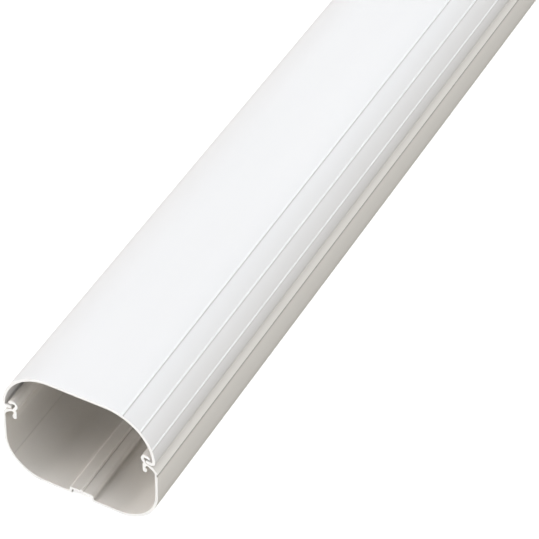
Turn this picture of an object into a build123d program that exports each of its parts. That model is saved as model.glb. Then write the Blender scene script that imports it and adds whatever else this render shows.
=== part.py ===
from build123d import *
import os
from math import cos, pi, radians, sin, tan

# Snap-together PVC duct that hides air conditioner pipes, in millimetres.
# Two extrusions: a tray that is screwed to the wall and a domed cover.
# X is the width, Y the length, Z up from the wall face.

LENGTH = 2000.0          # one sold length

# tray
BASE_HALF = 38.5         # half the outside width
BASE_WALL = 1.35
FLOOR_T = 1.5
CORNER_R = 20.6          # big outer corner between floor and wall
SHOULDER_Z = 34.7        # crisp outer corner at the top of the wall
SHADOW_GAP = 0.35        # fine groove under that corner, depth
EAVE = 0.15              # how far that corner overhangs the wall

# raised strip along the middle of the floor, where the screws go
STRIP_TOP = 4.3
STRIP_T = 1.4
STRIP_HALF = 6.0         # half its width over the risers
RIDGE_TOP = 5.0          # fine ridge that marks the middle
RIDGE_HALF = 0.55
NICK = 0.3               # V-shaped nick under the ridge, depth

# snap hook along each top edge of the tray
SLOPE_X = 36.55          # the shoulder bends here from its steep outer slope
SLOPE_Z = 38.0           # to the gentle seat that carries the cover's lip
SEAT_RISE = 0.31         # rise of that seat for each millimetre inwards
CURL_IN = 30.4           # innermost reach of the curl
CURL_TOP = 44.0
CURL_TIP = 35.1          # outermost reach of the curl's free end
LEG_IN = 31.2            # inner face of the leg that hangs under the curl
LEG_BOTTOM = 33.45

# cover
COVER_HALF = 37.95       # half the outside width, just inside the tray's
COVER_TOP = 64.4
COVER_WALL = 1.5
COVER_R = 24.35          # shoulder radius
CROWN_HALF = 13.6        # the flat crown reaches this far from the middle
LIP_IN = 33.3            # how far in the lip reaches
LIP_TOP = 41.1           # top of the lip at its free edge
LIP_R = 2.6              # round of the cover's lower outer corner
SEAT_GAP = 0.3           # play between the lip and its seat
COVER_SHIFT = -0.4       # the cover lies pushed to one side of that play

# three fine raised beads along one shoulder of the cover
BEAD_ANGLES = (20.9, 45.6, 69.8)   # from straight up, towards +X
BEAD_R = 0.5
BEAD_HEIGHT = 0.32


def rounded_face(corners):
    """Face inside a closed outline of corners (x, z, radius), with true arcs."""
    points = []
    for i, (x, z, r) in enumerate(corners):
        ax, az, _ = corners[i - 1]
        bx, bz, _ = corners[(i + 1) % len(corners)]
        to_a = Vector(ax - x, az - z).normalized()
        to_b = Vector(bx - x, bz - z).normalized()
        half = radians(to_a.get_angle(to_b)) / 2
        corner = Vector(x, z)
        if r <= 0 or half > pi / 2 - 1e-4:
            points.append((corner, None, corner))
            continue
        run = r / tan(half)
        middle = corner + (to_a + to_b).normalized() * (r / sin(half) - r)
        points.append((corner + to_a * run, middle, corner + to_b * run))
    edges = []
    for i, (start, middle, end) in enumerate(points):
        if middle is not None:
            edges.append(ThreePointArc(start, middle, end))
        following = points[(i + 1) % len(points)][0]
        if (following - end).length > 1e-6:
            edges.append(Line(end, following))
    return make_face(edges)


def mirrored(half):
    """Whole outline from the corners of its +X half."""
    return half + [(-x, z, r) for x, z, r in reversed(half) if x > 0]


def along_length(face):
    """Extrude a section both ways from the middle; its second axis becomes Z."""
    return Rot(90, 0, 0) * extrude(face, LENGTH / 2, both=True)


def seat(x):
    """Height of the shoulder's seat at this distance from the middle."""
    return SLOPE_Z + (SLOPE_X - x) * SEAT_RISE


# underside of the strip with its nick, then the floor and the outside wall
strip_under = STRIP_TOP - STRIP_T
riser_in = STRIP_HALF - 1.2
outside = [
    (0, strip_under + NICK, 0),
    (0.35, strip_under, 0),
    (riser_in - 0.05, strip_under, 0.45),
    (riser_in + 0.3, 0, 0.8),
    (BASE_HALF, 0, CORNER_R),
    (BASE_HALF, SHOULDER_Z - 1.7, 0.3),
    (BASE_HALF - SHADOW_GAP, SHOULDER_Z - 1.1, 0.3),
    (BASE_HALF - SHADOW_GAP, SHOULDER_Z - 0.35, 0.2),
    (BASE_HALF + EAVE, SHOULDER_Z, 0.12),
]

# over the shoulder, round inside the curl and back over its top
curl = [
    (SLOPE_X, SLOPE_Z, 1.4),
    (33.0, seat(33.0), 0.5),
    (CURL_IN + 1.45, 41.4, 0.8),
    (CURL_IN + 1.7, CURL_TOP - 1.55, 0.65),
    (CURL_TIP - 0.7, 41.8, 0.3),
    (CURL_TIP, 41.85, 0.5),
    (CURL_TIP - 0.05, 43.15, 0.6),
    (33.0, CURL_TOP, 1.4),
    (CURL_IN + 0.9, CURL_TOP - 0.35, 1.2),
    (CURL_IN, 41.9, 1.3),
    (CURL_IN + 0.25, 40.45, 1.5),
    (31.8, 38.72, 0.12),
]

# the hanging leg with its foot turned outwards
leg = [
    (LEG_IN, 38.2, 0.35),
    (LEG_IN + 0.15, LEG_BOTTOM, 0.9),
    (33.15, LEG_BOTTOM, 0.8),
    (33.45, 35.35, 0.35),
    (32.65, 36.3, 0.4),
    (32.85, 37.55, 0.45),
]

# underside of the shoulder, the inside wall, the floor, the strip's top
wall_in = BASE_HALF - BASE_WALL
inside = [
    (33.9, 37.6, 0.5),
    (36.4, 35.75, 1.0),
    (wall_in, 34.4, 0.8),
    (wall_in, FLOOR_T, CORNER_R - BASE_WALL),
    (8.3, FLOOR_T, 3.0),
    (STRIP_HALF + 0.15, FLOOR_T + 0.3, 0.7),
    (STRIP_HALF - 0.1, STRIP_TOP, 1.1),
    (RIDGE_HALF + 0.15, STRIP_TOP, 0.15),
    (RIDGE_HALF - 0.15, RIDGE_TOP, 0.3),
]

duct_base = along_length(rounded_face(mirrored(outside + curl + leg + inside)))


def dome(half_width, top, radius, bend):
    """The cover's big shoulder arc and the gentle bend into its side."""
    swept = radians(80)
    first = CROWN_HALF + radius * tan(swept / 2)
    drop = (half_width - first) * tan(swept)
    return [(first, top, radius), (half_width, top - drop, bend)]


# cover: down the outside, in along the underside of the lip, back up inside
side_in = COVER_HALF - COVER_WALL
lip = [
    (COVER_HALF - 0.05, seat(COVER_HALF - 0.05) + SEAT_GAP, LIP_R),
    (LIP_IN, seat(LIP_IN) + SEAT_GAP, 0.7),
    (LIP_IN - 0.05, LIP_TOP, 0.7),
    (side_in, LIP_TOP - 0.4, 0.6),
]
dome_out = dome(COVER_HALF, COVER_TOP, COVER_R, 6.0)
dome_in = dome(side_in, COVER_TOP - COVER_WALL, COVER_R - COVER_WALL, 6.0)
cover_face = rounded_face(mirrored(dome_out + lip + dome_in[::-1]))

for angle in BEAD_ANGLES:
    out = COVER_R + BEAD_HEIGHT - BEAD_R
    bead_x = CROWN_HALF + out * sin(radians(angle))
    bead_z = COVER_TOP - COVER_R + out * cos(radians(angle))
    cover_face = cover_face + Pos(bead_x, bead_z) * Circle(BEAD_R)

duct_cover = Pos(COVER_SHIFT, 0, 0) * along_length(cover_face)

os.makedirs("parts", exist_ok=True)
export_step(duct_base, "parts/duct_base.step")
export_step(duct_cover, "parts/duct_cover.step")
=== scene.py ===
from math import acos, asin, atan2, cos, pi, radians, remainder, sin, tan

import bpy
from mathutils import Matrix, Vector


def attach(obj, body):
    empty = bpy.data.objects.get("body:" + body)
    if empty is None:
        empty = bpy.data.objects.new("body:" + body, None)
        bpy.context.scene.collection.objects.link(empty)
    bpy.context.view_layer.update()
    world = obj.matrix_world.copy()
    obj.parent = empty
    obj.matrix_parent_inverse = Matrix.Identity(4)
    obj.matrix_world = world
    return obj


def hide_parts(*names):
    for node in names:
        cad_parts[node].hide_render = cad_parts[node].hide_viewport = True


# A length of PVC trunking for air conditioner pipes: a tray and a domed cover
# that snaps over it. Sections are in millimetres, X across and Z up from the
# wall side, as in the part's source. Blender's own units are metres.

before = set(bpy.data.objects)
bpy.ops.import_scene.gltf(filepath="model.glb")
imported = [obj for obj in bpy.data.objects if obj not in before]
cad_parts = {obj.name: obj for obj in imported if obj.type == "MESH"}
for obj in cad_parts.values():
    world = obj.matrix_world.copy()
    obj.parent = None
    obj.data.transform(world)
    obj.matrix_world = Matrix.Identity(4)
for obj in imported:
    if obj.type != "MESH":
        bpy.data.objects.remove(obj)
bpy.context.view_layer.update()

MM = 0.001
LENGTH = 2000.0          # one sold length
CUT_BEVEL = 0.07         # the saw leaves the rim of a cut this much softened
SPANS = 24               # along the length

# tray
BASE_HALF = 38.5
BASE_WALL = 1.35
FLOOR_T = 1.5
CORNER_R = 20.6
SHOULDER_Z = 34.7
SHADOW_GAP = 0.35
EAVE = 0.15
STRIP_TOP = 4.3
STRIP_T = 1.4
STRIP_HALF = 6.0
RIDGE_TOP = 5.0
RIDGE_HALF = 0.55
NICK = 0.3
SLOPE_X = 36.55
SLOPE_Z = 38.0
SEAT_RISE = 0.31
CURL_IN = 30.4
CURL_TOP = 44.0
CURL_TIP = 35.1
LEG_IN = 31.2
LEG_BOTTOM = 33.45

# line scribed along the inside of the corner away from the beads
SCRIBE_ANGLE = 57.5      # from straight down
SCRIBE_HALF = 0.3
SCRIBE_DEPTH = 0.2

# cover
COVER_HALF = 37.95
COVER_TOP = 64.4
COVER_WALL = 1.5
COVER_R = 24.35
CROWN_HALF = 13.6
LIP_IN = 33.3
LIP_TOP = 41.1
LIP_R = 2.6
SEAT_GAP = 0.3
COVER_SHIFT = -0.4       # pushed to one side of its play, as in the photo
BEAD_ANGLES = (20.9, 45.6, 69.8)   # from straight up, towards +X
BEAD_R = 0.5
BEAD_HEIGHT = 0.32
DOME_TURN = 80           # degrees that each big shoulder arc turns
DOME_BEND = 6.0          # radius of the gentle bend from there into the side

# how finely the sections are stepped
ARC_STEP = 0.45          # longest step on an arc
ARC_TURN = 9             # degrees, widest turn of a step on an arc
FLAT_MIN = 0.6           # a flat run longer than this gets points along it,
FLAT_STEP = 2.0          # at most this far apart
EDGE_STEPS = (0.15, 0.45)   # and two more this far from each of its ends
BEAD_STEPS = 14          # points round a bead
BEAD_CLEAR = 0.5         # the cover's own points this near a bead make way for it
BELOW_BEAD = (0.2, 0.45)    # points this far below a bead, where its painted shade ends

PAINTED_SHADE_COLOUR = "6E675C"          # painted shade, mixed into the skin in grooves, crevices and below beads


def add(tree, kind, inputs=None, **settings):
    """Add a node. Each input gets a value, or a link where it is a socket."""
    node = tree.nodes.new(kind)
    for name, value in settings.items():
        setattr(node, name, value)
    for socket, value in (inputs or {}).items():
        if isinstance(value, bpy.types.NodeSocket):
            tree.links.new(value, node.inputs[socket])
        else:
            node.inputs[socket].default_value = value
    return node


def srgb(code):
    """Linear colour from a hex code such as F2F0EC."""
    parts = [int(code[i:i + 2], 16) / 255 for i in (0, 2, 4)]
    return [p / 12.92 if p <= 0.04045 else ((p + 0.055) / 1.055) ** 2.4 for p in parts] + [1]


# sections

def seat(x):
    """Height of the tray's seat under the cover's lip."""
    return SLOPE_Z + (SLOPE_X - x) * SEAT_RISE


def mirrored(half):
    """Whole outline from the corners of its +X half."""
    return half + [(-x, z, r) for x, z, r in reversed(half) if x > 0]


def polar(centre, radius, angle):
    """Point on a circle, by the angle from the section's X axis."""
    return centre + radius * Vector((cos(angle), sin(angle)))


def rounded(corners):
    """Points along the closed outline of corners (x, z, radius)."""
    runs = []
    for i, (x, z, r) in enumerate(corners):
        corner = Vector((x, z))
        to_a = (Vector(corners[i - 1][:2]) - corner).normalized()
        to_b = (Vector(corners[(i + 1) % len(corners)][:2]) - corner).normalized()
        half = acos(max(-1, min(1, to_a.dot(to_b)))) / 2
        if r <= 0 or half > pi / 2 - 1e-4:
            runs.append([corner])
            continue
        centre = corner + (to_a + to_b).normalized() * (r / sin(half))
        start = corner + to_a * (r / tan(half)) - centre
        end = corner + to_b * (r / tan(half)) - centre
        first = atan2(start.y, start.x)
        turn = remainder(atan2(end.y, end.x) - first, 2 * pi)
        count = max(2, round(abs(turn) * r / ARC_STEP), round(abs(turn) / radians(ARC_TURN)))
        runs.append([polar(centre, r, first + turn * k / count) for k in range(count + 1)])
    points = []
    for i, run in enumerate(runs):
        points += run
        gap = runs[(i + 1) % len(runs)][0] - run[-1]
        if gap.length > FLAT_MIN:
            steps = int(gap.length / FLAT_STEP) + 1
            along = [gap.length * k / steps for k in range(1, steps)]
            for near in EDGE_STEPS:
                if gap.length > 3 * near:
                    along += [near, gap.length - near]
            along = sorted(set(along))
            points += [run[-1] + gap.normalized() * s for s in along]
    return points


def painted_light_at(p, spots):
    """Painted light at a point of an outline: 1 as extruded, up to 2 for painted
    shade, down to 0 for a painted highlight. Spots are (x, z, reach, amount) and fade evenly."""
    painted_light = 1
    for x, z, reach, amount in spots:
        painted_light += amount * max(0, 1 - (p - Vector((x, z))).length / reach)
    return min(2, max(0, painted_light))


def swapped(outline, centre, reach, points):
    """The outline with its run near centre replaced by other points."""
    near = [i for i, p in enumerate(outline) if (p - centre).length < reach]
    return outline[:near[0]] + points + outline[near[-1] + 1:]


def tray_outline():
    """Floor with its raised strip, walls, and a hook along each top edge."""
    strip_under = STRIP_TOP - STRIP_T
    riser_in = STRIP_HALF - 1.2
    wall_in = BASE_HALF - BASE_WALL
    outside = [
        (0, strip_under + NICK, 0),
        (0.35, strip_under, 0),
        (riser_in - 0.05, strip_under, 0.45),
        (riser_in + 0.3, 0, 0.8),
        (BASE_HALF, 0, CORNER_R),
        (BASE_HALF, SHOULDER_Z - 1.7, 0.3),
        (BASE_HALF - SHADOW_GAP, SHOULDER_Z - 1.1, 0.3),
        (BASE_HALF - SHADOW_GAP, SHOULDER_Z - 0.35, 0.2),
        (BASE_HALF + EAVE, SHOULDER_Z, 0.12),
    ]
    curl = [
        (SLOPE_X, SLOPE_Z, 1.4),
        (33.0, seat(33.0), 0.5),
        (CURL_IN + 1.45, 41.4, 0.8),
        (CURL_IN + 1.7, CURL_TOP - 1.55, 0.65),
        (CURL_TIP - 0.7, 41.8, 0.3),
        (CURL_TIP, 41.85, 0.5),
        (CURL_TIP - 0.05, 43.15, 0.6),
        (33.0, CURL_TOP, 1.4),
        (CURL_IN + 0.9, CURL_TOP - 0.35, 1.2),
        (CURL_IN, 41.9, 1.3),
        (CURL_IN + 0.25, 40.45, 1.5),
        (31.8, 38.72, 0.12),
    ]
    leg = [
        (LEG_IN, 38.2, 0.35),
        (LEG_IN + 0.15, LEG_BOTTOM, 0.9),
        (33.15, LEG_BOTTOM, 0.8),
        (33.45, 35.35, 0.35),
        (32.65, 36.3, 0.4),
        (32.85, 37.55, 0.45),
    ]
    inside = [
        (33.9, 37.6, 0.5),
        (36.4, 35.75, 1.0),
        (wall_in, 34.4, 0.8),
        (wall_in, FLOOR_T, CORNER_R - BASE_WALL),
        (8.3, FLOOR_T, 3.0),
        (STRIP_HALF + 0.15, FLOOR_T + 0.3, 0.7),
        (STRIP_HALF - 0.1, STRIP_TOP, 1.1),
        (RIDGE_HALF + 0.15, STRIP_TOP, 0.15),
        (RIDGE_HALF - 0.15, RIDGE_TOP, 0.3),
    ]
    outline = rounded(mirrored(outside + curl + leg + inside))
    radius = CORNER_R - BASE_WALL
    centre = Vector((radius - wall_in, FLOOR_T + radius))
    down = radians(270 - SCRIBE_ANGLE)
    half = SCRIBE_HALF / radius
    scribe = [
        polar(centre, radius, down + half),
        polar(centre, radius + SCRIBE_DEPTH, down),
        polar(centre, radius, down - half),
    ]
    outline = swapped(outline, polar(centre, radius, down), 0.5, scribe)
    # painted shade in the scribed line, a painted highlight on the ridge with painted
    # shade along its foot, a painted highlight on the edge of the strip and the strip's
    # painted shadow along its other foot
    spots = [
        (*polar(centre, radius + SCRIBE_DEPTH, down), 0.5, 0.14),
        (RIDGE_HALF - 0.1, RIDGE_TOP - 0.1, 0.75, -2.0),
        (RIDGE_HALF + 0.25, STRIP_TOP, 0.35, 0.5),
        (0.1 - STRIP_HALF, STRIP_TOP, 1.5, -1.2),
        (STRIP_HALF + 0.4, FLOOR_T + 0.1, 1.8, 0.4),
    ]
    # painted shade in the groove under the shoulder, in the crevice over it and,
    # very thinly, low on the outside wall, darker towards its bottom
    for side in (-1, 1):
        spots += [
            (side * (BASE_HALF - 0.3), SHOULDER_Z - 0.95, 1.1, 0.85),
            (side * (SLOPE_X - 0.1), SLOPE_Z + 0.4, 3.8, 0.22),
            (side * BASE_HALF, 13, 17, 0.16),
        ]
    return [(p, painted_light_at(p, spots)) for p in outline]


def dome(half_width, top, radius, bend):
    """The cover's big shoulder arc and the gentle bend into its side."""
    swept = radians(DOME_TURN)
    first = CROWN_HALF + radius * tan(swept / 2)
    drop = (half_width - first) * tan(swept)
    return [(first, top, radius), (half_width, top - drop, bend)]


def cover_outline():
    """Domed shell with a lip turned in along each edge and three beads."""
    side_in = COVER_HALF - COVER_WALL
    lip = [
        (COVER_HALF - 0.05, seat(COVER_HALF - 0.05) + SEAT_GAP, LIP_R),
        (LIP_IN, seat(LIP_IN) + SEAT_GAP, 0.7),
        (LIP_IN - 0.05, LIP_TOP, 0.7),
        (side_in, LIP_TOP - 0.4, 0.6),
    ]
    outer = dome(COVER_HALF, COVER_TOP, COVER_R, DOME_BEND)
    inner = dome(side_in, COVER_TOP - COVER_WALL, COVER_R - COVER_WALL, DOME_BEND)
    outline = rounded(mirrored(outer + lip + inner[::-1]))
    centre = Vector((CROWN_HALF, COVER_TOP - COVER_R))
    out = COVER_R + BEAD_HEIGHT - BEAD_R
    foot = acos((COVER_R ** 2 - out ** 2 - BEAD_R ** 2) / (2 * out * BEAD_R))
    half = asin(BEAD_R * sin(foot) / COVER_R)
    # a little painted shade round both lower corners; each bead has a painted
    # highlight on its upper side and painted shade along its lower foot
    spots = [(side * 37.2, 39.3, 7.4, 0.15) for side in (-1, 1)]
    for angle in BEAD_ANGLES:
        up = radians(90 - angle)
        middle = polar(centre, out, up)
        bead = [polar(middle, BEAD_R, up + foot * (1 - 2 * k / BEAD_STEPS))
                for k in range(BEAD_STEPS + 1)]
        bead += [polar(centre, COVER_R, up - half - below / COVER_R) for below in BELOW_BEAD]
        outline = swapped(outline, middle, BEAD_R + BEAD_CLEAR, bead)
        spots.append((*polar(middle, BEAD_R, up + foot * 0.5), 0.42, -1.8))
        spots.append((*polar(middle, BEAD_R, up - foot * 0.8), 0.4, 0.5))
    shift = Vector((COVER_SHIFT, 0))
    return [(p + shift, painted_light_at(p, spots)) for p in reversed(outline)]


# finishes

def extruded_pvc(name, white, shade, highlight_colour, seed):
    """Rigid PVC as the extrusion die leaves it: opaque, satin, with fine lines
    and slow swells that run the whole length and catch the light. Painted
    highlights make marked edges whiter, and these edges are also glossier;
    painted shade greys the grooves, crevices and bead feet. The compound itself
    drifts between white and shade."""
    material = bpy.data.materials.new(name)
    material.use_nodes = True
    tree = material.node_tree
    tree.nodes.clear()
    place = add(tree, "ShaderNodeTexCoord").outputs["Object"]

    # die lines about 1.2 mm apart: the real ones are finer than a pixel here
    lines_at = add(tree, "ShaderNodeMapping", {"Vector": place, "Scale": (830, 1.7, 830)})
    lines = add(tree, "ShaderNodeTexNoise", {
        "Vector": lines_at.outputs[0], "W": seed, "Scale": 1.0, "Detail": 2.0, "Roughness": 0.6,
    }, noise_dimensions="4D")
    # swells about 12 mm across and half a metre long, from the cooling sleeve
    swells_at = add(tree, "ShaderNodeMapping", {"Vector": place, "Scale": (80, 2.0, 80)})
    swells = add(tree, "ShaderNodeTexNoise", {
        "Vector": swells_at.outputs[0], "W": seed + 7, "Scale": 1.0, "Detail": 1.0,
    }, noise_dimensions="4D")
    swell_bump = add(tree, "ShaderNodeBump", {
        "Height": swells.outputs["Fac"], "Strength": 1.0, "Distance": 0.03 * MM,
    })
    line_bump = add(tree, "ShaderNodeBump", {
        "Height": lines.outputs["Fac"], "Strength": 1.0, "Distance": 0.012 * MM,
        "Normal": swell_bump.outputs[0],
    })
    # the drift of the compound, in patches of a few centimetres by 20 cm
    drift_at = add(tree, "ShaderNodeMapping", {"Vector": place, "Scale": (28, 5, 28)})
    drift = add(tree, "ShaderNodeTexNoise", {
        "Vector": drift_at.outputs[0], "W": seed + 3, "Scale": 1.0, "Detail": 3.0,
    }, noise_dimensions="4D")
    tone = add(tree, "ShaderNodeValToRGB", {"Fac": drift.outputs["Fac"]})
    tone.color_ramp.elements[0].position = 0.3
    tone.color_ramp.elements[0].color = srgb(shade)
    tone.color_ramp.elements[1].position = 0.7
    tone.color_ramp.elements[1].color = srgb(white)
    # painted light from 1 down to 0 is a painted highlight, from 1 up to 2 is painted shade
    painted_light = add(tree, "ShaderNodeAttribute", attribute_name="painted_light").outputs["Fac"]
    painted_highlight = add(tree, "ShaderNodeMapRange", {
        "Value": painted_light, "From Min": 1.0, "From Max": 0.0,
    }).outputs[0]
    painted_shade = add(tree, "ShaderNodeMapRange", {
        "Value": painted_light, "From Min": 1.0, "From Max": 2.0,
    }).outputs[0]
    # the painted highlight whitens the tone and the painted shade greys it
    bright = add(tree, "ShaderNodeMix", {
        "Factor": painted_highlight, 6: tone.outputs["Color"], 7: srgb(highlight_colour),
    }, data_type="RGBA").outputs[2]
    colour = add(tree, "ShaderNodeMix", {
        "Factor": painted_shade, 6: bright, 7: srgb(PAINTED_SHADE_COLOUR),
    }, data_type="RGBA").outputs[2]
    satin = add(tree, "ShaderNodeMapRange", {
        "Value": lines.outputs["Fac"], "To Min": 0.36, "To Max": 0.48,
    })
    gloss = add(tree, "ShaderNodeMath", {
        0: painted_highlight, 1: -0.15, 2: satin.outputs["Result"],
    }, operation="MULTIPLY_ADD").outputs[0]
    skin = add(tree, "ShaderNodeBsdfPrincipled", {
        "Base Color": colour, "Roughness": gloss, "IOR": 1.53, "Normal": line_bump.outputs[0],
    })
    add(tree, "ShaderNodeOutputMaterial", {"Surface": skin.outputs[0]})
    return material


def sawn_pvc(name, white, shade):
    """The same PVC where a fine saw has cut it: whiter, matt, with the blade's
    marks straight across the wall."""
    material = bpy.data.materials.new(name)
    material.use_nodes = True
    tree = material.node_tree
    tree.nodes.clear()
    place = add(tree, "ShaderNodeTexCoord").outputs["Object"]
    # the blade leans 25 degrees; its marks are about half a millimetre apart
    marks_at = add(tree, "ShaderNodeMapping", {
        "Vector": place, "Rotation": (0, radians(25), 0),
    })
    marks = add(tree, "ShaderNodeTexWave", {
        "Vector": marks_at.outputs[0], "Scale": 620.0, "Distortion": 3.0, "Detail": 2.0,
        "Detail Scale": 0.6,
    }, wave_type="BANDS", bands_direction="X")
    bump = add(tree, "ShaderNodeBump", {
        "Height": marks.outputs["Fac"], "Strength": 1.0, "Distance": 0.015 * MM,
    })
    tone = add(tree, "ShaderNodeMix", {
        "Factor": marks.outputs["Fac"], 6: srgb(shade), 7: srgb(white),
    }, data_type="RGBA")
    face = add(tree, "ShaderNodeBsdfPrincipled", {
        "Base Color": tone.outputs[2], "Roughness": 0.62, "IOR": 1.53, "Normal": bump.outputs[0],
    })
    add(tree, "ShaderNodeOutputMaterial", {"Surface": face.outputs[0]})
    return material


# the extrusion: a section swept along the length, both ends sawn square

def extrusion_tree():
    """Node tree that sweeps a section, softens its sawn rims and sets the two
    materials, and the identifiers of its inputs by their names."""
    tree = bpy.data.node_groups.new("sawn_extrusion", "GeometryNodeTree")
    sockets = {}
    for name, kind in (("Section", "Geometry"), ("Length", "Float"), ("Spans", "Int"),
                       ("Cut Bevel", "Float"), ("Skin", "Material"), ("Cut", "Material")):
        sockets[name] = tree.interface.new_socket(
            name, in_out="INPUT", socket_type="NodeSocket" + kind)
    tree.interface.new_socket("Piece", in_out="OUTPUT", socket_type="NodeSocketGeometry")
    given = add(tree, "NodeGroupInput").outputs

    # the section knows which way is out before it is swept
    along = add(tree, "GeometryNodeInputTangent").outputs[0]
    out = add(tree, "ShaderNodeVectorMath", {
        0: (0, 1, 0), 1: along,
    }, operation="CROSS_PRODUCT").outputs[0]
    section = add(tree, "GeometryNodeCaptureAttribute", {"Geometry": given["Section"]})
    section.capture_items.new("VECTOR", "Out")
    tree.links.new(out, section.inputs["Out"])
    # and the painted light and shade that each point carries as its radius
    section.capture_items.new("FLOAT", "Wear")
    tree.links.new(add(tree, "GeometryNodeInputRadius").outputs[0], section.inputs["Wear"])
    flat = add(tree, "GeometryNodeTransform", {
        "Geometry": section.outputs["Geometry"], "Rotation": (pi / 2, 0, 0),
    })

    # the path, with a short first and last step for the softened rims
    half = add(tree, "ShaderNodeMath", {
        0: given["Length"], 1: 0.5,
    }, operation="MULTIPLY").outputs[0]
    minus = add(tree, "ShaderNodeMath", {0: half, 1: -1.0}, operation="MULTIPLY").outputs[0]
    start = add(tree, "ShaderNodeCombineXYZ", {"Y": minus}).outputs[0]
    end = add(tree, "ShaderNodeCombineXYZ", {"Y": half}).outputs[0]
    line = add(tree, "GeometryNodeCurvePrimitiveLine", {"Start": start, "End": end})
    points = add(tree, "ShaderNodeMath", {0: given["Spans"], 1: 1.0}, operation="ADD").outputs[0]
    path = add(tree, "GeometryNodeResampleCurve", {"Curve": line.outputs[0], "Count": points})
    place = add(tree, "GeometryNodeInputPosition").outputs[0]
    y = add(tree, "ShaderNodeSeparateXYZ", {0: place}).outputs["Y"]
    side = add(tree, "ShaderNodeMath", {0: y}, operation="SIGN").outputs[0]
    far = add(tree, "ShaderNodeMath", {0: y}, operation="ABSOLUTE").outputs[0]
    rim = add(tree, "ShaderNodeMath", {
        0: half, 1: given["Cut Bevel"],
    }, operation="SUBTRACT").outputs[0]
    index = add(tree, "GeometryNodeInputIndex").outputs[0]
    last = add(tree, "ShaderNodeMath", {
        0: given["Spans"], 1: 1.0,
    }, operation="SUBTRACT").outputs[0]
    second = add(tree, "FunctionNodeCompare", {
        2: index, 3: 1,
    }, data_type="INT", operation="EQUAL").outputs[0]
    second_last = add(tree, "FunctionNodeCompare", {
        2: index, 3: last,
    }, data_type="INT", operation="EQUAL").outputs[0]
    beside = add(tree, "FunctionNodeBooleanMath", {
        0: second, 1: second_last,
    }, operation="OR").outputs[0]
    rim_y = add(tree, "ShaderNodeMath", {0: rim, 1: side}, operation="MULTIPLY").outputs[0]
    rim_at = add(tree, "ShaderNodeCombineXYZ", {"Y": rim_y}).outputs[0]
    stepped = add(tree, "GeometryNodeSetPosition", {
        "Geometry": path.outputs[0], "Selection": beside, "Position": rim_at,
    })

    # the sweep; its two end rings then move in by the softened rim
    swept = add(tree, "GeometryNodeCurveToMesh", {
        "Curve": stepped.outputs[0], "Profile Curve": flat.outputs[0], "Fill Caps": True,
    })
    halfway = add(tree, "ShaderNodeMath", {
        0: given["Cut Bevel"], 1: 0.5, 2: rim,
    }, operation="MULTIPLY_ADD").outputs[0]
    at_end = add(tree, "FunctionNodeCompare", {
        0: far, 1: halfway,
    }, operation="GREATER_THAN").outputs[0]
    less = add(tree, "ShaderNodeMath", {
        0: given["Cut Bevel"], 1: -1.0,
    }, operation="MULTIPLY").outputs[0]
    inwards = add(tree, "ShaderNodeVectorMath", {
        0: section.outputs["Out"], "Scale": less,
    }, operation="SCALE").outputs[0]
    softened = add(tree, "GeometryNodeSetPosition", {
        "Geometry": swept.outputs[0], "Selection": at_end, "Offset": inwards,
    })

    # round where the section is round, crisp at the rims, beads and nick
    smooth = add(tree, "GeometryNodeSetShadeSmooth", {"Geometry": softened.outputs[0]})
    angle = add(tree, "GeometryNodeInputMeshEdgeAngle").outputs["Unsigned Angle"]
    sharp = add(tree, "FunctionNodeCompare", {
        0: angle, 1: radians(28),
    }, operation="GREATER_THAN").outputs[0]
    crisp = add(tree, "GeometryNodeSetShadeSmooth", {
        "Geometry": smooth.outputs[0], "Selection": sharp, "Shade Smooth": False,
    }, domain="EDGE")

    # faces square to the length are the saw cuts; all the others are skin
    normal = add(tree, "GeometryNodeInputNormal").outputs[0]
    facing = add(tree, "ShaderNodeSeparateXYZ", {0: normal}).outputs["Y"]
    square = add(tree, "ShaderNodeMath", {0: facing}, operation="ABSOLUTE").outputs[0]
    is_cut = add(tree, "FunctionNodeCompare", {
        0: square, 1: 0.9,
    }, operation="GREATER_THAN").outputs[0]
    # the painted light and shade go onto the mesh, for the skin's colour
    marked = add(tree, "GeometryNodeStoreNamedAttribute", {
        "Geometry": crisp.outputs[0], "Name": "painted_light", "Value": section.outputs["Wear"],
    })
    outward = add(tree, "GeometryNodeFlipFaces", {0: marked.outputs[0]})
    solid = add(tree, "GeometryNodeRealizeInstances", {"Geometry": outward.outputs[0]})
    skinned = add(tree, "GeometryNodeSetMaterial", {
        "Geometry": solid.outputs[0], "Material": given["Skin"],
    })
    finished = add(tree, "GeometryNodeSetMaterial", {
        "Geometry": skinned.outputs[0], "Selection": is_cut, "Material": given["Cut"],
    })
    add(tree, "NodeGroupOutput", {"Piece": finished.outputs[0]})
    return tree, {name: socket.identifier for name, socket in sockets.items()}


def extrude(name, outline, skin, cut, tree, keys):
    """Sweep one outline along the length and keep the result as a plain mesh.
    Each point of the section carries its painted light and shade as its radius."""
    curve = bpy.data.curves.new(name + "_section", "CURVE")
    curve.dimensions = "3D"
    spline = curve.splines.new("POLY")
    spline.points.add(len(outline) - 1)
    for point, (p, painted_light) in zip(spline.points, outline):
        point.co = (p.x * MM, 0, p.y * MM, 1)
        point.radius = painted_light
    spline.use_cyclic_u = True
    section = bpy.data.objects.new(name + "_section", curve)
    bpy.context.scene.collection.objects.link(section)
    sweep = section.modifiers.new("sweep", "NODES")
    sweep.node_group = tree
    sweep[keys["Length"]] = LENGTH * MM
    sweep[keys["Spans"]] = SPANS
    sweep[keys["Cut Bevel"]] = CUT_BEVEL * MM
    sweep[keys["Skin"]] = skin
    sweep[keys["Cut"]] = cut
    graph = bpy.context.evaluated_depsgraph_get()
    mesh = bpy.data.meshes.new_from_object(section.evaluated_get(graph), depsgraph=graph)
    mesh.name = name
    bpy.data.objects.remove(section)
    piece = bpy.data.objects.new(name, mesh)
    bpy.context.scene.collection.objects.link(piece)
    return piece


tree, keys = extrusion_tree()
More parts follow.
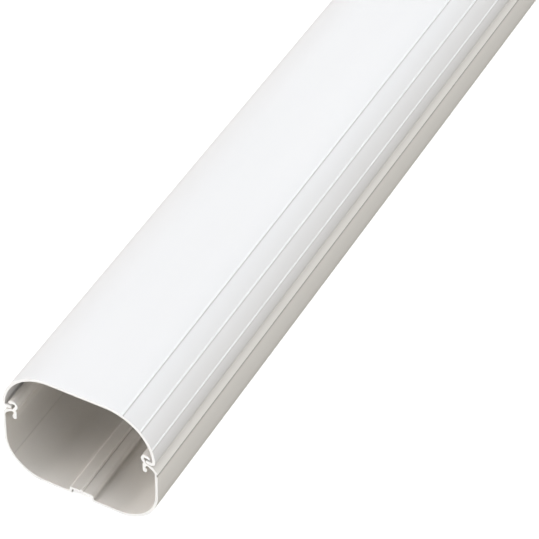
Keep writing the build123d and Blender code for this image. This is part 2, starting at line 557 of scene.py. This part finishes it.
# each skin's third colour is its painted highlight
tray_skin = extruded_pvc("extruded rigid PVC, tray", "F6F3EE", "F3F0EB", "FFFCF7", 1.0)
cover_skin = extruded_pvc("extruded rigid PVC, cover", "F4F3F3", "F1F0F0", "FFFFFF", 5.0)
cut_face = sawn_pvc("sawn rigid PVC", "FFFFFF", "FAFAF8")

tray = extrude("pvc_tray", tray_outline(), tray_skin, cut_face, tree, keys)
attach(tray, "base")
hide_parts("duct_base")

cover = extrude("pvc_cover", cover_outline(), cover_skin, cut_face, tree, keys)
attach(cover, "cover")
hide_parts("duct_cover")


# surroundings: a white floor that keeps the object's shadow, lights and camera

FLOOR_HALF = 9.0         # metres
FLOOR_GAP = 0.1          # millimetres, so that floor and tray don't coincide
MIRRORED_WHITE = 0.32    # how much of the white surround satin PVC reflects

# suns: strength, tint, width in degrees, and the direction they shine from
SUNS = {
    "overhead": (0.79, "FFFFFF", 60, (0.04, 0, 1)),
    "rear": (0.75, "F1FAFF", 60, (0, 0.7, 0.7)),
    "left": (0.98, "F6FAFF", 60, (-0.7, 0, 0.7)),
    "right": (1.70, "FFFFFF", 60, (0.88, 0, 0.47)),
    "front left": (2.5, "FFF9F4", 40, (-0.65, -0.75, 0.15)),
    "front": (0.93, "F3F9FF", 10, (-0.16, -0.98, 0.04)),
    "front right": (0.55, "F3F9FF", 10, (0.16, -0.98, 0.04)),
}


def sees_white(tree):
    """1 for the camera and what looks through, less for reflections, else 0."""
    rays = add(tree, "ShaderNodeLightPath").outputs
    direct = add(tree, "ShaderNodeMath", {
        0: rays["Is Camera Ray"], 1: rays["Is Transmission Ray"],
    }, operation="MAXIMUM").outputs[0]
    dimmed = add(tree, "ShaderNodeMath", {
        0: rays["Is Glossy Ray"], 1: MIRRORED_WHITE,
    }, operation="MULTIPLY").outputs[0]
    return add(tree, "ShaderNodeMath", {0: direct, 1: dimmed}, operation="MAXIMUM").outputs[0]


def pale_floor():
    """Paper that the camera sees as white. It sends warm grey light back at the
    object, and a shadow on it still shows."""
    material = bpy.data.materials.new("white paper floor")
    material.use_nodes = True
    tree = material.node_tree
    tree.nodes.clear()
    paper = add(tree, "ShaderNodeBsdfDiffuse", {"Color": srgb("6C6250")})
    white = add(tree, "ShaderNodeBsdfDiffuse", {"Color": srgb("FFFFFF")})
    glow = add(tree, "ShaderNodeEmission", {"Color": srgb("FFFFFF"), "Strength": 0.72})
    lifted = add(tree, "ShaderNodeAddShader", {0: white.outputs[0], 1: glow.outputs[0]})
    mixed = add(tree, "ShaderNodeMixShader", {
        0: sees_white(tree), 1: paper.outputs[0], 2: lifted.outputs[0],
    })
    add(tree, "ShaderNodeOutputMaterial", {"Surface": mixed.outputs[0]})
    mesh = bpy.data.meshes.new("floor")
    corners = [(x * FLOOR_HALF, y * FLOOR_HALF, -FLOOR_GAP * MM)
               for x, y in ((-1, -1), (1, -1), (1, 1), (-1, 1))]
    mesh.from_pydata(corners, [], [(0, 1, 2, 3)])
    mesh.materials.append(material)
    floor = bpy.data.objects.new("floor", mesh)
    bpy.context.scene.collection.objects.link(floor)


def studio():
    """White surround that only the camera and reflections see, broad soft suns
    from above, behind and both sides, the strongest one from the front left, and
    two narrow ones that shine into the cut end."""
    world = bpy.data.worlds.new("white surround")
    world.use_nodes = True
    tree = world.node_tree
    tree.nodes.clear()
    surround = add(tree, "ShaderNodeBackground", {
        "Color": srgb("FFFFFF"), "Strength": sees_white(tree),
    })
    add(tree, "ShaderNodeOutputWorld", {"Surface": surround.outputs[0]})
    bpy.context.scene.world = world
    for name, (energy, tint, spread, towards) in SUNS.items():
        lamp = bpy.data.lights.new(name, "SUN")
        lamp.energy = energy
        lamp.color = srgb(tint)[:3]
        lamp.angle = radians(spread)
        light = bpy.data.objects.new(name, lamp)
        light.rotation_euler = Vector(towards).to_track_quat("Z", "Y").to_euler()
        # the front suns stand so low that the crown would glare seen from behind
        light.visible_glossy = not name.startswith("front")
        bpy.context.scene.collection.objects.link(light)


def photo_camera():
    """Camera fitted to the photo's cut end, long edges and beads."""
    data = bpy.data.cameras.new("photo")
    data.sensor_width = 36
    data.lens = 182.44
    data.clip_start = 0.01
    data.clip_end = 50
    camera = bpy.data.objects.new("photo", data)
    right = Vector((0.88451, 0.46626, 0.01536))
    up = Vector((-0.32972, 0.60151, 0.72765))
    camera.matrix_world = Matrix.Translation((0.4333, -1.67551, 0.89164)) @ Matrix(
        (right, up, right.cross(up))).transposed().to_4x4()
    bpy.context.scene.collection.objects.link(camera)
    bpy.context.scene.camera = camera


pale_floor()
studio()
photo_camera()
bpy.context.scene.view_settings.view_transform = "Standard"
